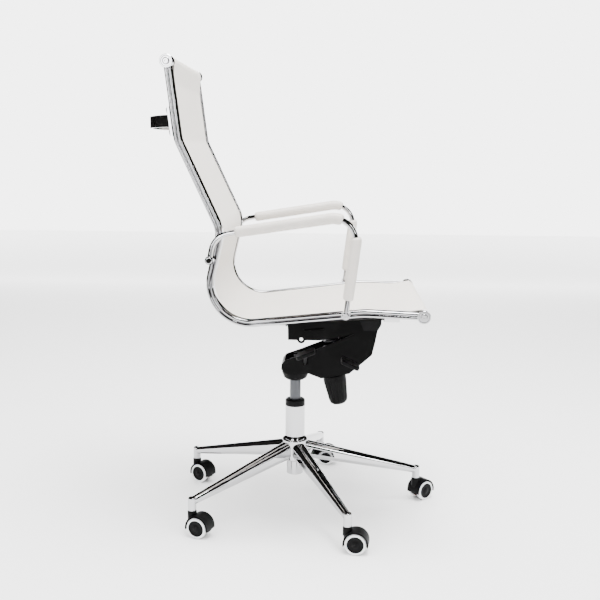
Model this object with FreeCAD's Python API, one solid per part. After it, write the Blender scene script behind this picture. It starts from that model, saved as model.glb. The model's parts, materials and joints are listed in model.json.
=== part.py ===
import FreeCAD, Part
import math
import os

# Swivel office chair with a mesh sling seat. Millimetres, +Z up, the front of the chair towards -Y.
# The origin is on the floor, on the axis of the swivel column.

# ---- driving dimensions -----------------------------------------------------------------------
GAP = 0.3                   # clearance between pieces that only lie next to each other
FIT = 0.05                  # radial running clearance of shafts
SEAT_FIT = 0.02             # radial clearance of pieces pressed or glued together

# five-star base
LEGS = 5
FIRST_LEG_DEG = 133.0
STEM_CIRCLE_R = 319.0
HUB_R = 33.0
HUB_BOTTOM_Z = 120.0
HUB_TOP_Z = 176.0
LEG_HUB_WIDTH = 36.0
LEG_HUB_HEIGHT = 46.0
LEG_TIP_WIDTH = 20.0
LEG_TIP_HEIGHT = 19.0
LEG_HUB_MID_Z = 147.0
LEG_TIP_MID_Z = 84.0
SOCKET_R = 9.75
SOCKET_BOTTOM_Z = 62.0
SOCKET_TOP_Z = 93.0

# casters
STEM_R = 5.0
WHEEL_R = 25.0
WHEEL_WIDTH = 13.0
DISC_R = 20.0
DISC_RECESS = 1.2
AXLE_R = 3.0
TRAIL = 20.0
WEB_HALF = 7.5
HOOD_HALF = 21.0
HOOD_INNER_R = 27.0
HOOD_WALL = 2.5
HOOD_TOP_Z = 60.0
HOOD_SKIRT = 5.0            # how far the cover reaches below the axle
HOOD_BOSS_R = 11.0
CASTER_HEADINGS_DEG = (250.0, 263.0, 310.0, 255.0, 240.0)

# column
TUBE_R = 25.0
TUBE_BOTTOM_Z = 82.0
TUBE_TOP_Z = 263.0
TUBE_NECK_R = 23.0
TUBE_FOOT_R = 21.0
TUBE_BORE_R = 18.0
TUBE_FLOOR = 4.0
COLLAR_HEIGHT = 17.0
BUSH_LENGTH = 70.0
CYLINDER_R = 14.0
CYLINDER_BORE_R = 12.0
CYLINDER_BOTTOM_Z = 150.0
CYLINDER_TOP_Z = 384.0
ROD_R = 5.0
PISTON_Z = 232.0
PIN_R = 4.0

# mechanism
BOSS_BOTTOM_Z = 332.0
BOSS_TOP_Z = 376.0
BOSS_FOOT_R = CYLINDER_R + 8.0
BOSS_R = CYLINDER_R + 21.0
HOUSING_HALF = 44.0
HOUSING_WALL = 4.0
# side outlines as (y, z): the tray, the room inside it, the channel's flanges, the pivot's cover
TRAY_OUTLINE = ((34.0, 366.0), (33.0, 378.0), (26.0, 387.0), (-12.0, 401.0), (-62.0, 421.0), (-158.0, 463.0),
                (-172.0, 493.0), (-198.0, 493.0), (-206.0, 474.0), (-200.0, 440.0), (-192.0, 406.0),
                (-172.0, 388.0), (-136.0, 357.0), (-66.0, 344.0), (-34.0, 356.0), (10.0, 352.0), (26.0, 358.0))
TRAY_ROOM = ((26.0, 378.0), (26.0, 420.0), (-12.0, 440.0), (-62.0, 470.0), (-158.0, 505.0), (-196.0, 505.0),
             (-202.0, 474.0), (-196.0, 440.0), (-188.0, 410.0), (-168.0, 393.0), (-134.0, 363.0),
             (-66.0, 351.0), (-42.0, 378.0))
FLANGE_OUTLINE = ((17.0, 442.0), (-62.0, 442.0), (-90.0, 446.0), (-160.0, 462.0), (-176.0, 464.0),
                  (-196.0, 464.0), (-208.0, 478.0))
FLANGE_REAR_Y = 18.0
FLANGE_FRONT_Y = -212.0
FLANGE_WINDOW = ((-23.0, 471.0), (-23.0, 465.0), (-72.0, 470.0), (-72.0, 474.0))
COVER_OUTLINE = ((-161.0, 493.0), (-170.0, 470.0), (-204.0, 469.0), (-213.0, 485.0))
LUG_Y = -16.0
LUG_Z = 444.0
LUG_R = 10.0
LUG_HOLE_R = 4.5
CHANNEL_WALL = 3.0
CHANNEL_CLEAR = 2.0
PIVOT_Y = -185.0
PIVOT_Z = 480.0
PIVOT_R = 7.0
PLATE_HALF_WIDTH = 98.0
PLATE_REAR_Y = 48.0
PLATE_FRONT_Y = -250.0
PLATE_REAR_Z = 491.0
PLATE_RISE = 0.0655
PLATE_THICK = 3.0
KNOB_TOP_R = 29.0
KNOB_BOTTOM_R = 23.0
KNOB_LENGTH = 76.0
KNOB_Y = -98.5
KNOB_TOP_Z = 345.0
KNOB_TILT_DEG = 10.7
BOLT_R = 5.0
SPRING_R = 19.0
SPRING_WIRE_R = 2.6
SPRING_TURNS = 8
SPRING_SEAT_Z = 368.0
SPRING_HEADROOM = 9.0       # under the plate, which leans over the coil when the seat tilts
HEIGHT_LEVER_Y = -26.0
HEIGHT_LEVER_Z = 388.0
HEIGHT_LEVER_END = (-32.0, 436.0)   # (y, z) of the paddle's middle
LOCK_LEVER_Y = -120.0
LOCK_LEVER_Z = 390.0
LOCK_LEVER_END = (-136.0, 414.0)
LEVER_R = 4.0
LEVER_BEND_X = 66.0
LEVER_REACH = 160.0
PADDLE = (48.0, 46.0, 9.0)          # across the chair, front to back, thickness
PIN_TOP_Z = 395.5

# seat frame: each side rail is a flat curve, drawn as (y, z, bend radius) from the top to the front
RAIL_PATH = ((279.0, 1098.0, 0.0), (257.0, 927.0, 50.0), (161.5, 724.0, 68.0),
             (213.0, 501.5, 90.0), (-165.0, 545.7, 200.0), (-299.0, 542.0, 0.0))
RAIL_DEPTH = 17.0           # in the plane of the curve
RAIL_WIDTH = 22.0           # across the chair
RAIL_TOP_X = 205.0          # half the distance between the rails' middles at the top tube
RAIL_FRONT_X = 245.0        # and at the front tube
CROSS_TUBE_R = 11.0
CAP_R = 15.0
CAP_THICK = 5.0
SCREW_HEAD_R = 8.0
SCREW_SHANK_R = 4.0
SCREW_HEAD_H = 3.5
SLING_THICK = 2.4
SLING_LIFT = 3.0            # how far the sling lies on the sitter's side of the rail's middle
SLOT_DEPTH = 6.0
STRETCHER_TOP_Z = 1002.0
STRETCHER_BOTTOM_Z = 936.0
STRETCHER_BOW = 76.0
STRETCHER_HEIGHT = 27.0
STRETCHER_THICK = 6.0
FLANGE_THICK = 5.0
BAR_WIDTH = 36.0
BAR_HEIGHT = 10.0
BAR_ROWS_Y = (32.0, -232.0)
PLATE_HOLE_X = 82.0

# arms, drawn as (y, z, bend radius) in a plane beside the rail
ARM_PATH = ((181.5, 662.0, 0.0), (171.5, 718.0, 50.0), (-153.4, 769.0, 50.0), (-125.5, 545.0, 0.0))
ARM_DEPTH = 12.0
ARM_WIDTH = 22.0
ARM_STANDOFF = 6.5          # from the rail's outer face to the arm
ARM_FOOT_R = 9.5
SLEEVE_DEPTH = 24.0
SLEEVE_WIDTH = 32.0
TOP_SLEEVE_SPAN = (93.0, 340.0)     # distances along the arm's middle line
FRONT_SLEEVE_SPAN = (386.0, 530.0)

TOE = math.atan2(RAIL_FRONT_X - RAIL_TOP_X, RAIL_PATH[0][0] - RAIL_PATH[-1][0])
RAIL_MID_X = RAIL_TOP_X + RAIL_PATH[0][0] * math.tan(TOE)
X_AXIS = FreeCAD.Vector(1, 0, 0)
Y_AXIS = FreeCAD.Vector(0, 1, 0)
Z_AXIS = FreeCAD.Vector(0, 0, 1)
ORIGIN = FreeCAD.Vector(0, 0, 0)


# ---- helpers ----------------------------------------------------------------------------------
def save(name, shape):
    shape.exportStep("parts/%s.step" % name)


def vec(x, y, z):
    return FreeCAD.Vector(x, y, z)


def rod(radius, start, end):
    """A cylinder between two points."""
    line = end - start
    return Part.makeCylinder(radius, line.Length, start, line)


def tube(outer, inner, start, end):
    return rod(outer, start, end).cut(rod(inner, start, end))


def revolved(profile):
    """A turned solid about Z from its (radius, z) outline."""
    points = [vec(r, 0, z) for r, z in profile]
    face = Part.Face(Part.makePolygon(points + points[:1]))
    return face.revolve(ORIGIN, Z_AXIS, 360)


def turned(shape, angle, centre=ORIGIN, axis=Z_AXIS):
    copy = shape.copy()
    copy.rotate(centre, axis, angle)
    return copy


def moved(shape, x, y, z):
    copy = shape.copy()
    copy.translate(vec(x, y, z))
    return copy


def mirrored(shape):
    """The same piece on the other side of the chair."""
    return shape.mirror(ORIGIN, X_AXIS)


def rounded_rectangle(width, height, radius):
    """A closed wire in the XY plane, centred on the origin."""
    a = width / 2.0 - radius
    b = height / 2.0 - radius
    edges = []
    corners = ((a, b, 0), (-a, b, 90), (-a, -b, 180), (a, -b, 270))
    for number, (x, y, start) in enumerate(corners):
        arc = Part.makeCircle(radius, vec(x, y, 0), Z_AXIS, start, start + 90)
        nx, ny, turn = corners[(number + 1) % 4]
        angle = math.radians(start + 90)
        here = vec(x + radius * math.cos(angle), y + radius * math.sin(angle), 0)
        there = vec(nx + radius * math.cos(angle), ny + radius * math.sin(angle), 0)
        edges.append(arc)
        if (there - here).Length > 1e-6:
            edges.append(Part.makeLine(here, there))
    return Part.Wire(edges)


def bent_line(path, offset=0.0):
    """Points, with arc middles, of a curve in the YZ plane made of straight runs and tangent arcs.
    A positive offset moves it to the left of its direction. Returns a list of edges."""
    points = [FreeCAD.Vector(0, y, z) for y, z, r in path]
    heads = [(points[i + 1] - points[i]).normalize() for i in range(len(points) - 1)]
    lefts = [vec(0, -h.z, h.y) for h in heads]
    edges = []
    start = points[0] + lefts[0] * offset
    for i in range(1, len(points) - 1):
        before = heads[i - 1]
        after = heads[i]
        turn = before.y * after.z - before.z * after.y
        half = before.getAngle(after) / 2.0
        side = 1.0 if turn > 0 else -1.0
        radius = path[i][2] - side * offset
        corner = points[i] + (lefts[i - 1] + lefts[i]) * (offset / (2.0 * math.cos(half) ** 2))
        reach = radius * math.tan(half)
        arc_start = corner - before * reach
        arc_end = corner + after * reach
        bisector = (after - before).normalize()
        arc_mid = corner + bisector * (radius / math.cos(half) - radius)
        edges.append(Part.makeLine(start, arc_start))
        edges.append(Part.Arc(arc_start, arc_mid, arc_end).toShape())
        start = arc_end
    edges.append(Part.makeLine(start, points[-1] + lefts[-1] * offset))
    return edges


def part_of(edges, start, end):
    """The stretch of a chain of edges between two distances along it."""
    kept = []
    passed = 0.0
    for edge in edges:
        low = max(start - passed, 0.0)
        high = min(end - passed, edge.Length)
        if high - low > 1e-6:
            first = edge.getParameterByLength(low)
            last = edge.getParameterByLength(high)
            kept.append(edge.Curve.toShape(first, last))
        passed += edge.Length
    return kept


def band(path, low, high, x_from, x_to):
    """The strip between two offsets of a bent line, extruded across the chair."""
    one = bent_line(path, low)
    other = bent_line(path, high)
    ends = [Part.makeLine(one[-1].Vertexes[-1].Point, other[-1].Vertexes[-1].Point),
            Part.makeLine(one[0].Vertexes[0].Point, other[0].Vertexes[0].Point)]
    wire = Part.Wire(Part.__sortEdges__(one + other + ends))
    return moved(Part.Face(wire), x_from, 0, 0).extrude(vec(x_to - x_from, 0, 0))


def swept(section, edges):
    """A section wire, drawn in the XY plane with X across the chair, swept along a line in the YZ plane."""
    spine = Part.Wire(edges)
    start = edges[0].Vertexes[0].Point
    tangent = (edges[0].Vertexes[-1].Point - start).normalize()
    if edges[0].Curve.TypeId != "Part::GeomLine":
        tangent = edges[0].tangentAt(edges[0].FirstParameter)
    across = vec(1, 0, 0)
    up = tangent.cross(across)
    placed = section.copy()
    placed.Placement = FreeCAD.Placement(start, FreeCAD.Rotation(across, up, tangent, "ZXY"))
    pipe = Part.BRepOffsetAPI.MakePipeShell(spine)
    pipe.setFrenetMode(True)
    pipe.add(placed)
    pipe.setTransitionMode(1)
    pipe.build()
    pipe.makeSolid()
    return pipe.shape()


def across_rod(radius, y, z):
    """A rod right across the chair, for drilling."""
    return rod(radius, vec(-400, y, z), vec(400, y, z))


def outline(points, x_from, x_to):
    """A (y, z) outline extruded across the chair."""
    corners = [vec(x_from, y, z) for y, z in points]
    return Part.Face(Part.makePolygon(corners + corners[:1])).extrude(vec(x_to - x_from, 0, 0))


def button_screw(length, at, direction):
    """A round-headed screw with a hex socket. The underside of its head is at the given point."""
    head = Part.makeCylinder(SCREW_HEAD_R, SCREW_HEAD_H, ORIGIN, Z_AXIS)
    head = head.makeFillet(2.4, [e for e in head.Edges if abs(e.CenterOfMass.z - SCREW_HEAD_H) < 1e-6])
    corners = [vec(2.6 * math.cos(math.radians(60 * k)), 2.6 * math.sin(math.radians(60 * k)), 1.4)
               for k in range(7)]
    socket = Part.Face(Part.makePolygon(corners)).extrude(vec(0, 0, SCREW_HEAD_H))
    shank = Part.makeCylinder(SCREW_SHANK_R, length, vec(0, 0, -length), Z_AXIS)
    screw = head.fuse(shank).cut(socket)
    screw.Placement = FreeCAD.Placement(at, FreeCAD.Rotation(Z_AXIS, direction))
    return screw


def place_side(shape):
    """Moves a piece drawn beside the plane X=0 into the left-hand (+X) rail's plane."""
    return moved(turned(shape, math.degrees(TOE)), RAIL_MID_X, 0, 0)


def rail_x(y):
    """Half the distance between the rails' middles at a given y."""
    return RAIL_MID_X - y * math.tan(TOE)


def plate_z(y):
    """Height of the top of the mounting plate."""
    return PLATE_REAR_Z + (PLATE_REAR_Y - y) * PLATE_RISE


def rail_z(y):
    """Height of the middle of the rail's seat stretch, nearest the given y."""
    plane = Part.makePlane(200, 120, vec(-60, y, 620), Y_AXIS, X_AXIS)
    return min(v.Point.z for e in bent_line(RAIL_PATH) for v in e.section(plane).Vertexes)


# ---- base -------------------------------------------------------------------------------------
def leg_angle(number):
    return FIRST_LEG_DEG + number * 360.0 / LEGS


def base_hub():
    hub = Part.makeCylinder(HUB_R, HUB_TOP_Z - HUB_BOTTOM_Z, vec(0, 0, HUB_BOTTOM_Z), Z_AXIS)
    hub = hub.makeFillet(4.0, [e for e in hub.Edges if e.Curve.TypeId == "Part::GeomCircle"])
    return hub.cut(rod(TUBE_NECK_R + SEAT_FIT, vec(0, 0, HUB_BOTTOM_Z - 1), vec(0, 0, HUB_TOP_Z + 1)))


def base_leg(angle):
    """A tapered pressed leg with the upright socket for its caster."""
    start = HUB_R - 8.0
    end = STEM_CIRCLE_R - 2.0
    wires = []
    for along, width, height, mid in ((start, LEG_HUB_WIDTH, LEG_HUB_HEIGHT, LEG_HUB_MID_Z),
                                      (end, LEG_TIP_WIDTH, LEG_TIP_HEIGHT, LEG_TIP_MID_Z)):
        wire = rounded_rectangle(width, height, 0.42 * width)
        wire.Placement = FreeCAD.Placement(vec(along, 0, mid), FreeCAD.Rotation(Y_AXIS, Z_AXIS, X_AXIS, "ZXY"))
        wires.append(wire)
    leg = Part.makeLoft(wires, True, True)
    socket = rod(SOCKET_R, vec(STEM_CIRCLE_R, 0, SOCKET_BOTTOM_Z), vec(STEM_CIRCLE_R, 0, SOCKET_TOP_Z))
    top = [e for e in socket.Edges if abs(e.CenterOfMass.z - SOCKET_TOP_Z) < 1e-6]
    leg = leg.fuse(socket.makeFillet(2.5, top))
    leg = leg.cut(rod(STEM_R + SEAT_FIT, vec(STEM_CIRCLE_R, 0, SOCKET_BOTTOM_Z - 1),
                      vec(STEM_CIRCLE_R, 0, SOCKET_TOP_Z - 4)))
    leg = leg.cut(rod(HUB_R + SEAT_FIT, vec(0, 0, 0), vec(0, 0, 300)))
    return turned(leg, angle)


def caster_stem(angle):
    """The steel pin in the socket, with the shoulder under it."""
    pin = rod(STEM_R, vec(STEM_CIRCLE_R, 0, 30), vec(STEM_CIRCLE_R, 0, SOCKET_TOP_Z - 5))
    shoulder = rod(STEM_R + 3, vec(STEM_CIRCLE_R, 0, HOOD_TOP_Z + 0.5), vec(STEM_CIRCLE_R, 0, SOCKET_BOTTOM_Z))
    return turned(pin.fuse(shoulder), angle)


# ---- casters, drawn with the stem on Z and the wheels behind it on +X ---------------------------
def caster_hood():
    """A rounded cover over both wheels, with the web between them and the boss for the stem."""
    axle = vec(TRAIL, 0, WHEEL_R)
    cover = rod(HOOD_INNER_R + HOOD_WALL, axle - Y_AXIS * HOOD_HALF, axle + Y_AXIS * HOOD_HALF)
    cover = cover.makeFillet(2.0, [e for e in cover.Edges if e.Curve.TypeId == "Part::GeomCircle"])
    cover = cover.cut(rod(HOOD_INNER_R, axle - Y_AXIS * 80, axle + Y_AXIS * 80))
    web = rod(HOOD_INNER_R + 1, axle - Y_AXIS * WEB_HALF, axle + Y_AXIS * WEB_HALF)
    above = Part.makeBox(160, 160, 80, vec(-80, -80, WHEEL_R - HOOD_SKIRT))
    above_web = Part.makeBox(160, 160, 80, vec(-80, -80, WHEEL_R - HOOD_SKIRT - 4))
    neck = Part.makeBox(STEM_R + 8, 2 * WEB_HALF, HOOD_TOP_Z - 28, vec(-STEM_R - 3, -WEB_HALF, 28))
    boss = rod(HOOD_BOSS_R, vec(0, 0, 40), vec(0, 0, HOOD_TOP_Z))
    boss = boss.makeFillet(1.5, [e for e in boss.Edges if abs(e.CenterOfMass.z - HOOD_TOP_Z) < 1e-6])
    boss = boss.cut(rod(HOOD_INNER_R, axle - Y_AXIS * 80, axle + Y_AXIS * 80))
    hood = cover.common(above).fuse([web.common(above_web), neck, boss])
    hood = hood.cut(rod(STEM_R + FIT, vec(0, 0, 29), vec(0, 0, HOOD_TOP_Z + 1)))
    return hood.cut(rod(AXLE_R + SEAT_FIT, axle - Y_AXIS * 80, axle + Y_AXIS * 80))


def caster_axle():
    reach = WEB_HALF + WHEEL_WIDTH
    return rod(AXLE_R, vec(TRAIL, -reach, WHEEL_R), vec(TRAIL, reach, WHEEL_R))


def caster_wheel(side):
    """A nylon disc with a tyre moulded round it, recessed on both faces."""
    profile = ((AXLE_R + FIT, 0), (DISC_R, 0), (DISC_R, -DISC_RECESS), (WHEEL_R - 2.5, -DISC_RECESS),
               (WHEEL_R, 1.5), (WHEEL_R, WHEEL_WIDTH - 2.5), (WHEEL_R - 2.5, WHEEL_WIDTH),
               (DISC_R, WHEEL_WIDTH), (DISC_R - 1, WHEEL_WIDTH - DISC_RECESS), (7, WHEEL_WIDTH - DISC_RECESS),
               (6, WHEEL_WIDTH + 0.6), (AXLE_R + FIT, WHEEL_WIDTH + 0.6))
    wheel = moved(revolved(profile), 0, 0, WEB_HALF + 0.8 + DISC_RECESS)
    wheel = turned(wheel, -90.0 * side, ORIGIN, X_AXIS)
    return moved(wheel, TRAIL, 0, WHEEL_R)


def at_caster(shape, number):
    """Turns a caster piece to its heading and moves it under its leg."""
    angle = math.radians(leg_angle(number))
    placed = turned(shape, CASTER_HEADINGS_DEG[number])
    return moved(placed, STEM_CIRCLE_R * math.cos(angle), STEM_CIRCLE_R * math.sin(angle), 0)


# ---- column -----------------------------------------------------------------------------------
def column_tube():
    floor = TUBE_BOTTOM_Z + TUBE_FLOOR
    return revolved(((ROD_R + FIT, TUBE_BOTTOM_Z), (TUBE_FOOT_R - 1, TUBE_BOTTOM_Z),
                     (TUBE_FOOT_R, TUBE_BOTTOM_Z + 1), (TUBE_FOOT_R, HUB_BOTTOM_Z - 3),
                     (TUBE_NECK_R, HUB_BOTTOM_Z), (TUBE_NECK_R, HUB_TOP_Z + 2), (TUBE_R, HUB_TOP_Z + 8),
                     (TUBE_R, TUBE_TOP_Z), (TUBE_BORE_R, TUBE_TOP_Z), (TUBE_BORE_R, floor),
                     (ROD_R + FIT, floor)))


def guide_bush():
    """The plastic guide inside the tube, with the collar that shows on top."""
    low = TUBE_TOP_Z - BUSH_LENGTH
    return revolved(((CYLINDER_R + FIT, low), (TUBE_BORE_R - SEAT_FIT, low),
                     (TUBE_BORE_R - SEAT_FIT, TUBE_TOP_Z), (TUBE_R, TUBE_TOP_Z),
                     (TUBE_R, TUBE_TOP_Z + COLLAR_HEIGHT - 3), (TUBE_R - 3, TUBE_TOP_Z + COLLAR_HEIGHT),
                     (CYLINDER_R + FIT, TUBE_TOP_Z + COLLAR_HEIGHT)))


def thrust_bearing():
    floor = TUBE_BOTTOM_Z + TUBE_FLOOR
    return tube(12.0, ROD_R + GAP, vec(0, 0, floor), vec(0, 0, floor + 5))


def piston_rod():
    shoulder = TUBE_BOTTOM_Z + TUBE_FLOOR + 5 + 0.2
    return revolved(((0, TUBE_BOTTOM_Z - 6), (ROD_R - 1, TUBE_BOTTOM_Z - 6), (ROD_R, TUBE_BOTTOM_Z - 5),
                     (ROD_R, shoulder), (9, shoulder), (9, shoulder + 4), (ROD_R, shoulder + 4),
                     (ROD_R, PISTON_Z), (CYLINDER_BORE_R - FIT, PISTON_Z),
                     (CYLINDER_BORE_R - FIT, PISTON_Z + 12), (0, PISTON_Z + 12)))


def retaining_clip():
    ring = tube(9.0, ROD_R + SEAT_FIT, vec(0, 0, TUBE_BOTTOM_Z - 2.4), vec(0, 0, TUBE_BOTTOM_Z - 0.4))
    return ring.cut(Part.makeBox(6, 20, 6, vec(-3, 0, TUBE_BOTTOM_Z - 5)))


def gas_cylinder():
    return revolved(((ROD_R + FIT, CYLINDER_BOTTOM_Z), (CYLINDER_R - 1, CYLINDER_BOTTOM_Z),
                     (CYLINDER_R, CYLINDER_BOTTOM_Z + 1), (CYLINDER_R, CYLINDER_TOP_Z),
                     (PIN_R + FIT, CYLINDER_TOP_Z), (PIN_R + FIT, CYLINDER_TOP_Z - 20),
                     (CYLINDER_BORE_R, CYLINDER_TOP_Z - 20), (CYLINDER_BORE_R, CYLINDER_BOTTOM_Z + 8),
                     (ROD_R + FIT, CYLINDER_BOTTOM_Z + 8)))


def release_pin():
    return rod(PIN_R, vec(0, 0, CYLINDER_TOP_Z - 26), vec(0, 0, PIN_TOP_Z))


# ---- mechanism --------------------------------------------------------------------------------
def mech_housing():
    """The pressed tray that grips the gas cylinder and carries the pivot at its front."""
    body = outline(TRAY_OUTLINE, -HOUSING_HALF, HOUSING_HALF)
    boss = revolved(((0, BOSS_BOTTOM_Z), (BOSS_FOOT_R, BOSS_BOTTOM_Z), (BOSS_R - 6, BOSS_BOTTOM_Z + 5),
                     (BOSS_R - 1, BOSS_BOTTOM_Z + 18), (BOSS_R, BOSS_TOP_Z - 6), (BOSS_R - 4, BOSS_TOP_Z),
                     (0, BOSS_TOP_Z)))
    room = outline(TRAY_ROOM, -HOUSING_HALF + HOUSING_WALL, HOUSING_HALF - HOUSING_WALL)
    body = body.fuse(boss).cut(room)
    body = body.cut(rod(CYLINDER_R + SEAT_FIT, vec(0, 0, BOSS_BOTTOM_Z - 1), vec(0, 0, CYLINDER_TOP_Z + 6)))
    body = body.cut(across_rod(PIVOT_R + FIT, PIVOT_Y, PIVOT_Z))
    slot = Part.makeBox(30, 2 * LEVER_R + 4, 3 * LEVER_R + 8)
    slot = moved(slot, -HOUSING_HALF - 20, HEIGHT_LEVER_Y - LEVER_R - 2, HEIGHT_LEVER_Z - 1.5 * LEVER_R - 4)
    body = body.cut(slot)
    body = body.cut(across_rod(LEVER_R + FIT, LOCK_LEVER_Y, LOCK_LEVER_Z))
    low, high = knob_axis()
    return body.cut(rod(BOLT_R + FIT, low, high))


def knob_axis():
    """Two points on the tilted axis of the tension knob."""
    lean = vec(0, math.sin(math.radians(KNOB_TILT_DEG)), math.cos(math.radians(KNOB_TILT_DEG)))
    top = vec(0, KNOB_Y, KNOB_TOP_Z)
    return top - lean * (KNOB_LENGTH + 10), top + lean * 70


def on_knob_axis(shape):
    """Tilts a piece drawn on Z, with the knob's top at z=0, onto the knob's axis."""
    return moved(turned(shape, -KNOB_TILT_DEG, ORIGIN, X_AXIS), 0, KNOB_Y, KNOB_TOP_Z)


def tension_knob():
    profile = ((BOLT_R + SEAT_FIT, 0), (KNOB_TOP_R - 2, 0), (KNOB_TOP_R, -2), (KNOB_TOP_R, -16),
               (KNOB_BOTTOM_R + 1, -KNOB_LENGTH + 14), (KNOB_BOTTOM_R - 1.5, -KNOB_LENGTH + 5),
               (KNOB_BOTTOM_R - 7, -KNOB_LENGTH), (BOLT_R + 4, -KNOB_LENGTH),
               (BOLT_R + SEAT_FIT, -KNOB_LENGTH + 4))
    knob = revolved(profile)
    for k in range(12):
        groove = rod(3.0, vec(KNOB_TOP_R + 2, 0, -14), vec(KNOB_BOTTOM_R + 0.6, 0, -KNOB_LENGTH - 1))
        knob = knob.cut(turned(groove, 30.0 * k))
    return on_knob_axis(knob)


def tension_bolt():
    return on_knob_axis(rod(BOLT_R, vec(0, 0, -KNOB_LENGTH + 4), vec(0, 0, 60)))


def tilt_spring():
    """The coil between the tray's floor and the roof of the channel."""
    height = plate_z(KNOB_Y) - PLATE_THICK - SPRING_WIRE_R - SPRING_HEADROOM - SPRING_SEAT_Z
    helix = Part.makeHelix(height / SPRING_TURNS, height, SPRING_R)
    ring = Part.Wire(Part.makeCircle(SPRING_WIRE_R, vec(SPRING_R, 0, 0), Y_AXIS))
    coil = Part.Wire(helix).makePipeShell([ring], True, True)
    return moved(coil, 0, KNOB_Y + 6, SPRING_SEAT_Z)


def lever(y, z, end, inner_x, slope):
    """A bent steel rod out to the sitter's right with a flat moulded paddle on its end."""
    end_y, end_z = end
    bend = vec(-LEVER_BEND_X, y, z)
    tip = vec(-LEVER_REACH, end_y, end_z)
    shaft = rod(LEVER_R, vec(inner_x, y, z), bend)
    shaft = shaft.fuse([Part.makeSphere(LEVER_R, bend), rod(LEVER_R, bend, tip)])
    across, deep, thick = PADDLE
    blade = Part.makeBox(across, deep, thick, vec(-across, -deep / 2.0, -thick / 2.0))
    blade = blade.makeFillet(9.0, [e for e in blade.Edges if abs(e.Vertexes[0].Z - e.Vertexes[-1].Z) > 1])
    blade = blade.makeFillet(2.5, [e for e in blade.Edges if abs(e.Vertexes[0].Z - e.Vertexes[-1].Z) < 1e-6])
    blade = turned(blade, slope, ORIGIN, X_AXIS)
    return shaft.fuse(moved(blade, tip.x + 8, end_y, end_z))


def height_lever():
    """The lever's finger lies over the release pin."""
    main = lever(HEIGHT_LEVER_Y, HEIGHT_LEVER_Z, HEIGHT_LEVER_END, 4.0, -22.0)
    post = Part.makeBox(8, 2 * LEVER_R, 12, vec(-4, HEIGHT_LEVER_Y - LEVER_R, HEIGHT_LEVER_Z))
    finger = Part.makeBox(8, PIN_R - HEIGHT_LEVER_Y + LEVER_R, 4.5,
                          vec(-4, HEIGHT_LEVER_Y - LEVER_R, PIN_TOP_Z + 0.5))
    return main.fuse([post, finger])


def mech_channel():
    """The mounting plate and the down-turned flanges that straddle the tray."""
    outer = HOUSING_HALF + CHANNEL_CLEAR + CHANNEL_WALL
    inner = HOUSING_HALF + CHANNEL_CLEAR
    under = [(y, plate_z(y) - PLATE_THICK) for y in (PLATE_REAR_Y, PLATE_FRONT_Y)]
    over = [(y, plate_z(y)) for y in (PLATE_FRONT_Y, PLATE_REAR_Y)]
    plate = outline(under + over, -PLATE_HALF_WIDTH, PLATE_HALF_WIDTH)
    ends = ((FLANGE_FRONT_Y, plate_z(FLANGE_FRONT_Y) - 1), (FLANGE_REAR_Y, plate_z(FLANGE_REAR_Y) - 1))
    sides = outline(FLANGE_OUTLINE + ends, -outer, outer)
    sides = sides.fuse(rod(LUG_R, vec(-outer, LUG_Y, LUG_Z), vec(outer, LUG_Y, LUG_Z)))
    under_plate = outline(((100, plate_z(100) - PLATE_THICK), (-300, plate_z(-300) - PLATE_THICK), (-300, 400),
                           (100, 400)), -inner, inner)
    channel = plate.fuse(sides.cut(under_plate))
    channel = channel.cut(across_rod(LUG_HOLE_R, LUG_Y, LUG_Z))
    channel = channel.cut(across_rod(PIVOT_R + SEAT_FIT, PIVOT_Y, PIVOT_Z))
    channel = channel.cut(outline(FLANGE_WINDOW, -2 * outer, 2 * outer))
    for y in BAR_ROWS_Y:
        for x in (-PLATE_HOLE_X, PLATE_HOLE_X):
            channel = channel.cut(rod(SCREW_SHANK_R + GAP, vec(x, y, 400), vec(x, y, 560)))
    return channel.removeSplitter()


def pivot_shaft():
    reach = HOUSING_HALF + CHANNEL_CLEAR + CHANNEL_WALL + 3
    return rod(PIVOT_R, vec(-reach, PIVOT_Y, PIVOT_Z), vec(reach, PIVOT_Y, PIVOT_Z))


def pivot_covers():
    """The two moulded caps over the ends of the pivot."""
    face = HOUSING_HALF + CHANNEL_CLEAR + CHANNEL_WALL
    top = ((-214.0, plate_z(-214) - 5), (-170.0, plate_z(-170) - 5))
    cap = outline(COVER_OUTLINE + top, face + GAP, face + 8)
    cap = cap.cut(rod(PIVOT_R + GAP, vec(face, PIVOT_Y, PIVOT_Z), vec(face + 4, PIVOT_Y, PIVOT_Z)))
    return Part.makeCompound([cap, mirrored(cap)])


def plate_bolts():
    screws = []
    for y in BAR_ROWS_Y:
        for x in (-PLATE_HOLE_X, PLATE_HOLE_X):
            head = vec(x, y, plate_z(y) - PLATE_THICK - 0.8)
            screws.append(button_screw(PLATE_THICK + 9, head, vec(0, 0, -1)))
    return Part.makeCompound(screws)


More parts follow.
